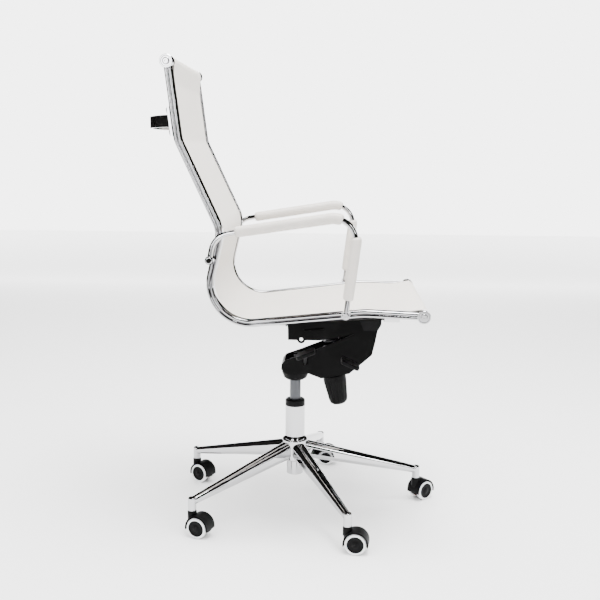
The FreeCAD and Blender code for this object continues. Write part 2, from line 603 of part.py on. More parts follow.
# ---- seat frame -------------------------------------------------------------------------------
def rail_bar():
    """A side rail's bar, drawn beside X=0, with an eye at each end and a shallow groove outside."""
    half = RAIL_WIDTH / 2.0
    bar = swept(rounded_rectangle(RAIL_WIDTH, RAIL_DEPTH, 3.5), bent_line(RAIL_PATH))
    eyes = []
    for y, z, radius in (RAIL_PATH[0], RAIL_PATH[-1]):
        eyes.append(rod(CAP_R - 1, vec(-half, y, z), vec(half, y, z)))
    bar = bar.fuse(eyes)
    groove = band(RAIL_PATH, 1.0, 2.6, half - 1.2, half + 1)
    bar = bar.cut(groove)
    for y, z, radius in (RAIL_PATH[0], RAIL_PATH[-1]):
        bar = bar.cut(rod(SCREW_SHANK_R + GAP, vec(-half - 1, y, z), vec(half + 1, y, z)))
    for y, z in arm_feet():
        bar = bar.cut(rod(SCREW_SHANK_R + SEAT_FIT, vec(-2, y, z), vec(half + 1, y, z)))
    for z in flange_screw_rows():
        bar = bar.cut(behind_rail(rod(SCREW_SHANK_R + SEAT_FIT, vec(0, -11, 0), vec(0, 5, 0)), z))
    return bar


def rail():
    """The left rail in its place, with the slot that holds the sling's edge."""
    return place_side(rail_bar()).cut(sling_sheet(GAP))


def cross_tube(end):
    """The tube between the rails' eyes, cut to the rails' inner faces."""
    y, z, radius = end
    y = y * math.cos(TOE)
    reach = (rail_x(y) - RAIL_WIDTH / 2.0) - GAP - CROSS_TUBE_R * math.tan(TOE)
    bar = tube(CROSS_TUBE_R, CROSS_TUBE_R - 2, vec(-reach, y, z), vec(reach, y, z))
    plugs = [rod(CROSS_TUBE_R - 1, vec(s * (reach - 16), y, z), vec(s * reach, y, z)) for s in (-1, 1)]
    return bar.fuse(plugs).cut(across_rod(SCREW_SHANK_R + 2, y, z))


def end_cap():
    """Drawn beside X=0, outside the rail: a disc with a raised rim."""
    half = RAIL_WIDTH / 2.0
    profile = ((SCREW_SHANK_R + GAP, 0), (CAP_R, 0), (CAP_R, CAP_THICK - 1), (CAP_R - 1, CAP_THICK),
               (CAP_R - 3, CAP_THICK), (CAP_R - 4, CAP_THICK - 1.5), (SCREW_SHANK_R + GAP, CAP_THICK - 1.5))
    return moved(turned(revolved(profile), 90.0, ORIGIN, Y_AXIS), half + 0.1, 0, 0)


def both_sides(shapes):
    """A group of pieces drawn beside X=0, on both rails."""
    left = [place_side(s) for s in shapes]
    return Part.makeCompound(left + [mirrored(s) for s in left])


def end_caps():
    return both_sides([moved(end_cap(), 0, y, z) for y, z, radius in (RAIL_PATH[0], RAIL_PATH[-1])])


def arm_feet():
    """Where the two feet of an arm are screwed to the rail."""
    return ((ARM_PATH[0][0], ARM_PATH[0][1]), (ARM_PATH[-1][0], ARM_PATH[-1][1]))


def stretcher_slope():
    """How far the top run of the rail moves back for each millimetre of height."""
    return (RAIL_PATH[0][0] - RAIL_PATH[1][0]) / (RAIL_PATH[0][1] - RAIL_PATH[1][1])


def behind_rail(shape, z):
    """Moves a piece onto the rail's top run. It is drawn with the rail's rear face on Y=0, about Z=0."""
    lean = math.degrees(math.atan(stretcher_slope()))
    y = RAIL_PATH[1][0] + (z - RAIL_PATH[1][1]) * stretcher_slope()
    off = vec(0, RAIL_DEPTH / 2.0, 0)
    return moved(turned(moved(shape, off.x, off.y, off.z), -lean, ORIGIN, X_AXIS), 0, y, z)


def flange_screw_rows():
    inset = SCREW_HEAD_R + 0.7
    return (STRETCHER_BOTTOM_Z + inset, STRETCHER_TOP_Z - inset)


def frame_screws():
    half = RAIL_WIDTH / 2.0
    screws = []
    for y, z, radius in (RAIL_PATH[0], RAIL_PATH[-1]):
        screws.append(button_screw(28, vec(half + CAP_THICK - 1.3, y, z), X_AXIS))
    for y, z in arm_feet():
        head_x = half + ARM_STANDOFF + ARM_WIDTH + 0.2
        screws.append(button_screw(ARM_WIDTH + ARM_STANDOFF + 10, vec(head_x, y, z), X_AXIS))
    for z in flange_screw_rows():
        screws.append(behind_rail(button_screw(FLANGE_THICK + 9, vec(0, FLANGE_THICK + GAP, 0), Y_AXIS), z))
    return both_sides(screws)


def sling_sheet(grow):
    """The mesh panel between the bottoms of the two slots, thicker and wider by a clearance."""
    middle = [(y * math.cos(TOE), z, radius) for y, z, radius in RAIL_PATH]
    sheet = band(middle, -SLING_LIFT - SLING_THICK / 2 - grow, -SLING_LIFT + SLING_THICK / 2 + grow,
                 -RAIL_FRONT_X - 10, RAIL_FRONT_X + 10)
    edge = place_side(Part.makeBox(200, 1600, 900, vec(-RAIL_WIDTH / 2.0 + SLOT_DEPTH + grow, -800, 300)))
    return sheet.cut([edge, mirrored(edge)])


def sling():
    """The mesh panel from slot to slot, wrapped over the two cross tubes."""
    sheet = sling_sheet(0.0)
    inside = CROSS_TUBE_R + GAP
    eyes = []
    for y, z, radius in (RAIL_PATH[0], RAIL_PATH[-1]):
        reach = rail_x(y) - RAIL_WIDTH / 2.0 / math.cos(TOE) - GAP - (inside + SLING_THICK) * math.tan(TOE)
        y = y * math.cos(TOE)
        sheet = sheet.fuse(rod(inside + SLING_THICK, vec(-reach, y, z), vec(reach, y, z)))
        sheet = sheet.cut(across_rod(inside, y, z))
        eyes += [rod(CAP_R + 2, vec(s * reach, y, z), vec(s * (reach + 60), y, z)) for s in (-1, 1)]
    return sheet.cut(eyes)


def back_stretcher():
    """The bowed bar behind the back, with a flange screwed to each rail."""
    mid = (STRETCHER_TOP_Z + STRETCHER_BOTTOM_Z) / 2.0
    height = STRETCHER_TOP_Z - STRETCHER_BOTTOM_Z
    pad = Part.makeBox(RAIL_WIDTH - 2, FLANGE_THICK, height, vec(1 - RAIL_WIDTH / 2.0, GAP, -height / 2.0))
    pad = behind_rail(pad, mid)
    for z in flange_screw_rows():
        pad = pad.cut(behind_rail(rod(SCREW_SHANK_R + GAP, vec(0, -5, 0), vec(0, 20, 0)), z))
    pad = place_side(pad)
    rear = pad.BoundBox.Center.y
    half = rail_x(rear)
    low = STRETCHER_HEIGHT / 2.0
    arcs = []
    for offset in (0.0, STRETCHER_THICK):
        ends = [vec(s * half, rear + offset, mid - low) for s in (-1, 1)]
        arcs.append(Part.Arc(ends[0], vec(0, rear + STRETCHER_BOW + offset, mid - low), ends[1]).toShape())
    sides = [Part.makeLine(arcs[0].Vertexes[k].Point, arcs[1].Vertexes[k].Point) for k in (0, 1)]
    face = Part.Face(Part.Wire(Part.__sortEdges__(arcs + sides)))
    bar = face.extrude(vec(0, 0, 2 * low))
    return bar.fuse([pad, mirrored(pad)]).removeSplitter()


def seat_bar(y):
    """A cross bar dropped between the rails to carry the mounting plate."""
    low = plate_z(y) + BAR_HEIGHT / 2.0 + BAR_WIDTH / 2.0 * PLATE_RISE + 0.2
    under = SLING_LIFT - SLING_THICK / 2.0 - 2.0 - 0.12 * BAR_WIDTH / 2.0
    high = rail_z(y) + under - BAR_HEIGHT / 2.0
    reach = rail_x(y) - RAIL_WIDTH / 2.0 - GAP - BAR_WIDTH / 2.0 * math.tan(TOE)
    path = [vec(-reach, y, high), vec(-reach + 28, y, high), vec(-reach + 72, y, low),
            vec(reach - 72, y, low), vec(reach - 28, y, high), vec(reach, y, high)]
    points = [(p.x, p.z) for p in path]
    half = BAR_HEIGHT / 2.0
    upper = [vec(x, y - BAR_WIDTH / 2.0, z + half) for x, z in points]
    lower = [vec(x, y - BAR_WIDTH / 2.0, z - half) for x, z in points]
    loop = upper + lower[::-1]
    bar = Part.Face(Part.makePolygon(loop + loop[:1])).extrude(vec(0, BAR_WIDTH, 0))
    for x in (-PLATE_HOLE_X, PLATE_HOLE_X):
        bar = bar.cut(rod(SCREW_SHANK_R + GAP, vec(x, y, low - 20), vec(x, y, low + 3)))
    return bar


# ---- arms, drawn beside X=0 and outside the rail -------------------------------------------------
def arm_x():
    return RAIL_WIDTH / 2.0 + ARM_STANDOFF + ARM_WIDTH / 2.0


def arm_tube():
    bar = swept(rounded_rectangle(ARM_WIDTH, ARM_DEPTH, 5.5), bent_line(ARM_PATH))
    bar = moved(bar, arm_x(), 0, 0)
    for y, z in arm_feet():
        bar = bar.fuse(rod(ARM_FOOT_R, vec(RAIL_WIDTH / 2.0 + 0.1, y, z), vec(arm_x() + ARM_WIDTH / 2, y, z)))
    for y, z in arm_feet():
        bar = bar.cut(rod(SCREW_SHANK_R + SEAT_FIT, vec(0, y, z), vec(60, y, z)))
    return bar


def arm_sleeve(span):
    """A padded sleeve round a stretch of the arm, hollow for the tube."""
    line = part_of(bent_line(ARM_PATH), span[0], span[1])
    outer = swept(rounded_rectangle(SLEEVE_WIDTH, SLEEVE_DEPTH, 10.0), line)
    whole = swept(rounded_rectangle(ARM_WIDTH + 2 * GAP, ARM_DEPTH + 2 * GAP, 5.8), line)
    sleeve = outer.cut(whole)
    return moved(sleeve, arm_x(), 0, 0)


# ---- everything -------------------------------------------------------------------------------
os.makedirs("parts", exist_ok=True)

save("base_hub", base_hub())
for n in range(LEGS):
    save("base_leg_%d" % (n + 1), base_leg(leg_angle(n)))
    save("caster_%d_hood" % (n + 1), at_caster(caster_hood(), n))
    save("caster_%d_axle" % (n + 1), at_caster(caster_axle(), n))
    save("caster_%d_wheel_a" % (n + 1), at_caster(caster_wheel(1), n))
    save("caster_%d_wheel_b" % (n + 1), at_caster(caster_wheel(-1), n))
save("caster_stems", Part.makeCompound([caster_stem(leg_angle(n)) for n in range(LEGS)]))

save("column_tube", column_tube())
save("guide_bush", guide_bush())
save("thrust_bearing", thrust_bearing())
save("piston_rod", piston_rod())
save("retaining_clip", retaining_clip())
save("gas_cylinder", gas_cylinder())
save("release_pin", release_pin())

save("mech_housing", mech_housing())
save("tension_knob", tension_knob())
save("tension_bolt", tension_bolt())
save("tilt_spring", tilt_spring())
save("height_lever", height_lever())
save("lock_lever", lever(LOCK_LEVER_Y, LOCK_LEVER_Z, LOCK_LEVER_END, -30.0, 24.0))
save("mech_channel", mech_channel())
save("pivot_shaft", pivot_shaft())
save("pivot_covers", pivot_covers())
save("plate_bolts", plate_bolts())

left_rail = rail()
save("rail_left", left_rail)
save("rail_right", mirrored(left_rail))
save("top_tube", cross_tube(RAIL_PATH[0]))
save("front_tube", cross_tube(RAIL_PATH[-1]))
save("end_caps", end_caps())
save("frame_screws", frame_screws())
save("sling", sling())
save("back_stretcher", back_stretcher())
save("seat_bar_rear", seat_bar(BAR_ROWS_Y[0]))
save("seat_bar_front", seat_bar(BAR_ROWS_Y[1]))

left_arm = place_side(arm_tube())
save("arm_left", left_arm)
save("arm_right", mirrored(left_arm))
for label, stretch in (("top", TOP_SLEEVE_SPAN), ("front", FRONT_SLEEVE_SPAN)):
    left_sleeve = place_side(arm_sleeve(stretch))
    save("arm_sleeve_%s_left" % label, left_sleeve)
    save("arm_sleeve_%s_right" % label, mirrored(left_sleeve))
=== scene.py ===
import json
import math

import bmesh
import bpy
from mathutils import Matrix, Vector, noise


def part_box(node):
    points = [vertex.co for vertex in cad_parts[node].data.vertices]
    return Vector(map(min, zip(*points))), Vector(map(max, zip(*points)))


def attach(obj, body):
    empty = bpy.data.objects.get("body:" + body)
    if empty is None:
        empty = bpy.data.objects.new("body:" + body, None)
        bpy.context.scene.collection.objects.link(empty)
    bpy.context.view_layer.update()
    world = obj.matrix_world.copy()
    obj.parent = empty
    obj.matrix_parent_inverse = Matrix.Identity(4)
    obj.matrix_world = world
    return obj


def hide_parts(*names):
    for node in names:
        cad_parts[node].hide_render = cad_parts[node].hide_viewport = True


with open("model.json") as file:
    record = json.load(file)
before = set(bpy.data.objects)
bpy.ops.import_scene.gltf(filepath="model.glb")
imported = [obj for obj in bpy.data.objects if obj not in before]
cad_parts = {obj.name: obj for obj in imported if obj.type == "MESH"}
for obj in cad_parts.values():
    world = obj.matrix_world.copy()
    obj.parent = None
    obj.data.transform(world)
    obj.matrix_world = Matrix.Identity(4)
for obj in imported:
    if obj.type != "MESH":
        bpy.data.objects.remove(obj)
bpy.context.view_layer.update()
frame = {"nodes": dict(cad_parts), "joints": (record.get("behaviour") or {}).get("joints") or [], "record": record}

# Swivel office chair: mesh sling in a chrome rail frame. Metres, +Z up, front towards -Y, floor at Z = 0.
MM = 0.001
WHITE_LEVEL = 5.2           # brightness of the white room round the chair

# The side rail's middle line in its own plane, from the top tube to the front tube: (y, z, bend radius).
RAIL_LINE = ((279, 1098, 0), (257, 927, 50), (161.5, 724, 68), (213, 501.5, 90), (-165, 545.7, 200),
             (-299, 542, 0))
RAIL_TOP_X = 205 * MM
RAIL_FRONT_X = 245 * MM
RAIL_WIDTH = 22 * MM
RAIL_DEPTH = 17 * MM
SLOT_DEPTH = 6 * MM
SLING_THICK = 2.0 * MM
SLING_LIFT = 3.0 * MM
TUBE_R = 11 * MM

# The arm's middle line, in a plane beside the rail.
ARM_LINE = ((181.5, 662, 0), (171.5, 718, 50), (-153.4, 769, 50), (-125.5, 545, 0))
ARM_OFFSET = 28.5 * MM
TOP_SLEEVE = (93 * MM, 340 * MM)
FRONT_SLEEVE = (386 * MM, 530 * MM)
SLEEVE_WIDTH = 32 * MM
SLEEVE_DEPTH = 24 * MM

TOE = math.atan2(RAIL_FRONT_X - RAIL_TOP_X, (RAIL_LINE[0][0] - RAIL_LINE[-1][0]) * MM)
RAIL_MID_X = RAIL_TOP_X + RAIL_LINE[0][0] * MM * math.tan(TOE)


# ---- shader building ------------------------------------------------------------------------------
class Value:
    """A shader socket that takes part in arithmetic like a number."""

    def __init__(self, shader, socket):
        self.shader = shader
        self.socket = socket

    def math(self, operation, a, b=0.0):
        return self.shader.add("ShaderNodeMath", {"operation": operation}, {0: a, 1: b})

    def __add__(self, other):
        return self.math("ADD", self, other)

    def __radd__(self, other):
        return self.math("ADD", other, self)

    def __sub__(self, other):
        return self.math("SUBTRACT", self, other)

    def __rsub__(self, other):
        return self.math("SUBTRACT", other, self)

    def __mul__(self, other):
        return self.math("MULTIPLY", self, other)

    def __rmul__(self, other):
        return self.math("MULTIPLY", other, self)

    def __truediv__(self, other):
        return self.math("DIVIDE", self, other)

    def __abs__(self):
        return self.math("ABSOLUTE", self)

    def sine(self):
        return self.math("SINE", self)

    def clamp(self):
        return self.math("MAXIMUM", self.math("MINIMUM", self, 1.0), 0.0)

    def above(self, edge, softness):
        """0 well below the edge, 1 well above it."""
        return ((self - edge) / softness + 0.5).clamp()


class Shader:
    """One material and the nodes that feed its surface."""

    def __init__(self, name, **constants):
        self.material = bpy.data.materials.new(name)
        self.material.use_nodes = True
        self.tree = self.material.node_tree
        self.surface = self.tree.nodes["Principled BSDF"]
        for socket, value in constants.items():
            self.surface.inputs[socket.replace("_", " ")].default_value = value

    def add(self, kind, settings=None, values=None, out=0):
        """A node of a type, with its settings made before its sockets are filled."""
        node = self.tree.nodes.new(kind)
        for key, value in (settings or {}).items():
            setattr(node, key, value)
        for key, value in (values or {}).items():
            self.fill(node.inputs[key], value)
        return Value(self, node.outputs[out])

    def fill(self, socket, value):
        if isinstance(value, Value):
            self.tree.links.new(value.socket, socket)
        else:
            socket.default_value = value

    def place(self):
        return self.add("ShaderNodeTexCoord", out="Object")

    def uv(self):
        """The piece's own two lengths over its surface, in metres."""
        split = self.add("ShaderNodeSeparateXYZ", {}, {0: self.add("ShaderNodeUVMap", {"uv_map": "cloth"})})
        node = split.socket.node
        return Value(self, node.outputs[0]), Value(self, node.outputs[1])

    def noise(self, scale, detail=3.0, roughness=0.5):
        return self.add("ShaderNodeTexNoise", {}, {"Vector": self.place(), "Scale": scale,
                                                   "Detail": detail, "Roughness": roughness})

    def mix(self, factor, low, high):
        return self.add("ShaderNodeMix", {"data_type": "RGBA"}, {0: factor, 6: low, 7: high}, out=2)

    def paint(self, colour=None, roughness=None, height=None, distance=0.001, strength=1.0):
        if colour is not None:
            self.fill(self.surface.inputs["Base Color"], colour)
        if roughness is not None:
            self.fill(self.surface.inputs["Roughness"], roughness)
        if height is not None:
            bump = self.add("ShaderNodeBump", {},
                            {"Height": height, "Distance": distance, "Strength": strength})
            self.fill(self.surface.inputs["Normal"], bump)
        return self.material


def rgb(red, green, blue):
    return (red, green, blue, 1.0)


def chrome():
    """Mirror plating with faint cloudy wear and the finest polishing marks."""
    s = Shader("polished_chrome", Metallic=1.0)
    cloud = s.noise(14.0, 2.0)
    fine = s.noise(650.0, 2.0)
    colour = s.mix(cloud, rgb(0.44, 0.44, 0.455), rgb(0.53, 0.53, 0.535))
    return s.paint(colour, 0.02 + 0.03 * cloud * cloud + 0.01 * fine, fine, 0.00001, 0.15)


def zinc_steel():
    s = Shader("zinc_plated_steel", Metallic=1.0)
    grain = s.noise(420.0, 3.0)
    colour = s.mix(grain, rgb(0.07, 0.07, 0.075), rgb(0.12, 0.12, 0.125))
    return s.paint(colour, 0.24 + 0.14 * grain, grain, 0.00004)


def grey_cylinder_paint():
    s = Shader("grey_cylinder_paint", Metallic=0.5)
    speckle = s.noise(900.0, 2.0)
    long_wear = s.noise(30.0, 3.0)
    colour = s.mix(long_wear, rgb(0.055, 0.058, 0.065), rgb(0.085, 0.088, 0.096))
    return s.paint(colour, 0.30 + 0.12 * speckle, speckle, 0.00003)


def powder_coat():
    """Black orange-peel coat on pressed steel, a little greyer where it has rubbed."""
    s = Shader("black_powder_coat", Specular_IOR_Level=0.07)
    peel = s.noise(380.0, 2.0)
    rub = s.noise(22.0, 4.0)
    colour = s.mix(rub.above(0.62, 0.18), rgb(0.0012, 0.0012, 0.0013), rgb(0.0030, 0.0030, 0.0032))
    return s.paint(colour, 0.42 + 0.16 * rub, peel, 0.00012, 0.7)


def moulded_nylon(name, dark, light):
    """Moulded plastic with a fine spark-eroded texture."""
    s = Shader(name, Specular_IOR_Level=0.08)
    spark = s.noise(1500.0, 2.0)
    patch = s.noise(35.0, 3.0)
    return s.paint(s.mix(patch, dark, light), 0.42 + 0.18 * patch, spark, 0.00008, 0.8)


def tyre_polyurethane():
    s = Shader("pale_tyre_polyurethane", Subsurface_Weight=0.04)
    scuff = s.noise(160.0, 5.0, roughness=0.7)
    grime = s.noise(40.0, 4.0).above(0.6, 0.25)
    colour = s.mix(grime * 0.5, rgb(0.80, 0.80, 0.80), rgb(0.62, 0.62, 0.61))
    return s.paint(colour, 0.38 + 0.2 * scuff, scuff, 0.00008, 0.6)


def sling_mesh():
    """Coated yarns woven one over one, with a pin hole at each crossing, and a sheen along the yarn. Painted shade
    darkens the valleys between the yarns, and the pin holes are painted dark as shade.
    """
    s = Shader("woven_sling_mesh", Sheen_Weight=0.12, Sheen_Roughness=0.5, Specular_IOR_Level=0.35)
    across, along = s.uv()
    pitch = 1.25 * MM
    turn = math.pi / pitch
    warp = abs((across * turn).sine())
    weft = abs((along * turn).sine())
    over = (across * turn).sine() * (along * turn).sine()
    hole = ((1.0 - warp) * (1.0 - weft)).above(0.50, 0.22)
    yarn = warp * weft
    fleck = s.noise(260.0, 3.0)
    tone = s.noise(7.0, 3.0)
    light = s.mix(tone, rgb(0.74, 0.70, 0.645), rgb(0.82, 0.78, 0.725))
    # painted shade: the colour darkens towards the valleys between the yarns, with random flecks of tone mixed in
    woven = s.mix((1.0 - yarn) * 0.42 + 0.10 * fleck, light, rgb(0.53, 0.495, 0.445))
    # painted shade: each pin hole is painted dark as the shade inside it
    colour = s.mix(hole * 0.75, woven, rgb(0.22, 0.21, 0.20))
    height = yarn * 0.6 + over * 0.25 - hole * 0.6
    return s.paint(colour, 0.55 + 0.15 * fleck, height, 0.00035, 0.75)


def sleeve_leather():
    """Soft coated leather: a pebble grain, finer pores and slow changes of tone, with painted shade in the creases
    between the pebbles.
    """
    s = Shader("white_sleeve_leather", Specular_IOR_Level=0.45, Coat_Weight=0.08, Coat_Roughness=0.35)
    place = s.place()
    pebble = s.add("ShaderNodeTexVoronoi", {"feature": "DISTANCE_TO_EDGE"}, {"Vector": place, "Scale": 620.0})
    pores = s.noise(2200.0, 2.0)
    tone = s.noise(20.0, 4.0)
    crease = s.noise(75.0, 5.0, roughness=0.65)
    colour = s.mix(tone, rgb(0.55, 0.515, 0.475), rgb(0.66, 0.625, 0.585))
    # painted shade: the colour darkens in the creases along the pebbles' edges, where the bump sinks
    colour = s.mix((1.0 - pebble.above(0.10, 0.16)) * 0.22, colour, rgb(0.36, 0.33, 0.295))
    height = pebble.above(0.12, 0.2) * 0.5 + pores * 0.2 + crease * 0.9
    return s.paint(colour, 0.40 + 0.18 * crease, height, 0.00030, 0.7)


def sewing_thread():
    s = Shader("sewing_thread", Sheen_Weight=0.2)
    twist = s.noise(1800.0, 2.0)
    colour = s.mix(twist, rgb(0.70, 0.69, 0.66), rgb(0.84, 0.83, 0.80))
    return s.paint(colour, 0.6 + 0.2 * twist, twist, 0.0001)


def studio_paper():
    s = Shader("studio_paper")
    fibre = s.noise(8.0, 3.0)
    return s.paint(s.mix(fibre, rgb(0.90, 0.90, 0.90), rgb(0.92, 0.92, 0.92)), 0.75)


# ---- lines and meshes -----------------------------------------------------------------------------
def bent_points(line, step):
    """Points and directions, in a rail's plane, along straight runs joined by tangent arcs."""
    corners = [Vector((y * MM, z * MM)) for y, z, radius in line]
    heads = [(corners[i + 1] - corners[i]).normalized() for i in range(len(corners) - 1)]
    runs = []
    start = corners[0]
    for i in range(1, len(corners) - 1):
        before, after = heads[i - 1], heads[i]
        radius = line[i][2] * MM
        half = before.angle(after) / 2
        reach = radius * math.tan(half)
        side = 1 if before.x * after.y - before.y * after.x > 0 else -1
        first = corners[i] - before * reach
        runs.append((start, before, (first - start).length, 0.0))
        runs.append((first, before, radius * 2 * half, side / radius))
        start = corners[i] + after * reach
    runs.append((start, heads[-1], (corners[-1] - start).length, 0.0))
    found = []
    for origin, head, length, bend in runs:
        count = max(1, round(length / step)) if bend == 0 else max(6, round(length / (step * 0.6)))
        for k in range(count + (origin is runs[-1][0])):
            s = length * k / count
            left = Vector((-head.y, head.x))
            if bend == 0:
                at, way = origin + head * s, head
            else:
                turn = s * bend
                at = origin + head * (math.sin(turn) / bend) + left * ((1 - math.cos(turn)) / bend)
                way = head * math.cos(turn) + left * math.sin(turn)
            found.append((at, way))
    return found


def lengths(points):
    """Distance from the first point to each point."""
    total = [0.0]
    for a, b in zip(points, points[1:]):
        total.append(total[-1] + (b - a).length)
    return total


def beside_rail(x, y, z, side):
    """A point drawn beside the plane X=0, moved into the rail's plane. side is 1 for +X, -1 for -X."""
    turned_x = x * math.cos(TOE) - y * math.sin(TOE) + RAIL_MID_X
    turned_y = x * math.sin(TOE) + y * math.cos(TOE)
    return Vector((side * turned_x, turned_y, z))


def half_width(y):
    """From the chair's middle plane to the middle of the rail."""
    return RAIL_MID_X - y * math.tan(TOE)


def finish_mesh(bm, name, material, body):
    """Turns a bmesh into an object on the origin that rides on a body."""
    bmesh.ops.recalc_face_normals(bm, faces=bm.faces)
    for face in bm.faces:
        face.smooth = True
    mesh = bpy.data.meshes.new(name)
    bm.to_mesh(mesh)
    bm.free()
    piece = bpy.data.objects.new(name, mesh)
    bpy.context.scene.collection.objects.link(piece)
    mesh.materials.append(material)
    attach(piece, body)
    return piece


def swept(section, stations):
    """A closed tube whose rings are the section at each station. A station gives a function from the
    section's two lengths to a place."""
    bm = bmesh.new()
    around = len(section)
    bmesh.ops.create_grid(bm, x_segments=around, y_segments=len(stations) - 1, size=0.5)
    bm.verts.ensure_lookup_table()
    for v in bm.verts:
        ring = round((v.co.y + 0.5) * (len(stations) - 1))
        spoke = round((v.co.x + 0.5) * around) % around
        a, b = section[spoke]
        v.co = stations[ring](a, b)
    bmesh.ops.remove_doubles(bm, verts=bm.verts, dist=1e-6)
    bmesh.ops.holes_fill(bm, edges=[e for e in bm.edges if e.is_boundary], sides=0)
    return bm


def rounded_section(width, depth, radius, per_corner=8):
    """The outline of a rounded rectangle as (across, up) lengths."""
    points = []
    for quarter, (sx, sy) in enumerate(((1, 1), (-1, 1), (-1, -1), (1, -1))):
        for k in range(per_corner + 1):
            angle = math.radians(90 * quarter + 90 * k / per_corner)
            points.append((sx * (width / 2 - radius) + radius * math.cos(angle),
                           sy * (depth / 2 - radius) + radius * math.sin(angle)))
    return points


def add_turned(bm, profile, centre, axis, segments=64):
    """Spins a (radius, along) outline about an axis through a centre into the bmesh."""
    axis = axis.normalized()
    out = axis.orthogonal().normalized()
    points = [bm.verts.new(centre + out * r + axis * a) for r, a in profile]
    edges = [bm.edges.new((points[k], points[(k + 1) % len(points)])) for k in range(len(points))]
    bmesh.ops.spin(bm, geom=points + edges, cent=centre, axis=axis, angle=math.tau, steps=segments,
                   use_merge=True, use_duplicate=False)
    bmesh.ops.remove_doubles(bm, verts=bm.verts, dist=1e-7)


# ---- the sling ------------------------------------------------------------------------------------
HEM_LENGTH = 42 * MM        # from a tube's middle to the sewn edge of its pocket
BORDER = 40 * MM            # doubled cloth along each rail
POCKET_R = TUBE_R + 1.4 * MM
CLOTH_UV_HALF = 0.235       # half the sheet's width as the weave's coordinates count it
ROW_SPACING = 5 * MM
STITCH_LENGTH = 3.4 * MM
HEM_SEAM = 8 * MM           # from a hem's edge to its line of stitches


def tangent_angle(centre, radius, outside, side):
    """The angle on a circle where the line from an outside point touches it."""
    line = outside - centre
    return math.atan2(line.y, line.x) + side * math.acos(radius / line.length)


def sling_line():
    """The sling's middle line in the rail's plane: pocket, back, seat and front pocket."""
    plain = bent_points(RAIL_LINE, 8 * MM)
    run = lengths([p for p, way in plain])
    total = run[-1]
    sheet, hem_top, hem_front = [], None, None
    for (point, way), s in zip(plain, run):
        left = Vector((-way.y, way.x))
        if HEM_LENGTH < s < total - HEM_LENGTH:
            sheet.append(point - left * SLING_LIFT)
        if hem_top is None and s >= HEM_LENGTH:
            hem_top = point - left * (SLING_LIFT - SLING_THICK * 1.15)
        if s <= total - HEM_LENGTH:
            hem_front = point - left * (SLING_LIFT - SLING_THICK * 1.15)
    top = plain[0][0]
    front = plain[-1][0]
    line = [hem_top]
    for centre, start, end in ((top, hem_top, sheet[0]), (front, sheet[-1], hem_front)):
        a = tangent_angle(centre, POCKET_R, start, 1)
        b = tangent_angle(centre, POCKET_R, end, -1)
        while b < a:
            b += math.tau
        arc = [centre + Vector((math.cos(a + (b - a) * k / 20), math.sin(a + (b - a) * k / 20))) * POCKET_R
               for k in range(21)]
        line += arc
        line += sheet if centre is top else [hem_front]
    return line


def even_points(line, step):
    """The same line with points at even distances."""
    run = lengths(line)
    count = round(run[-1] / step)
    found = []
    j = 0
    for k in range(count + 1):
        want = run[-1] * k / count
        while j < len(run) - 2 and run[j + 1] < want:
            j += 1
        share = (want - run[j]) / max(run[j + 1] - run[j], 1e-9)
        found.append(line[j].lerp(line[j + 1], min(share, 1.0)))
    return found


def ease(x):
    x = min(max(x, 0.0), 1.0)
    return x * x * (3 - 2 * x)


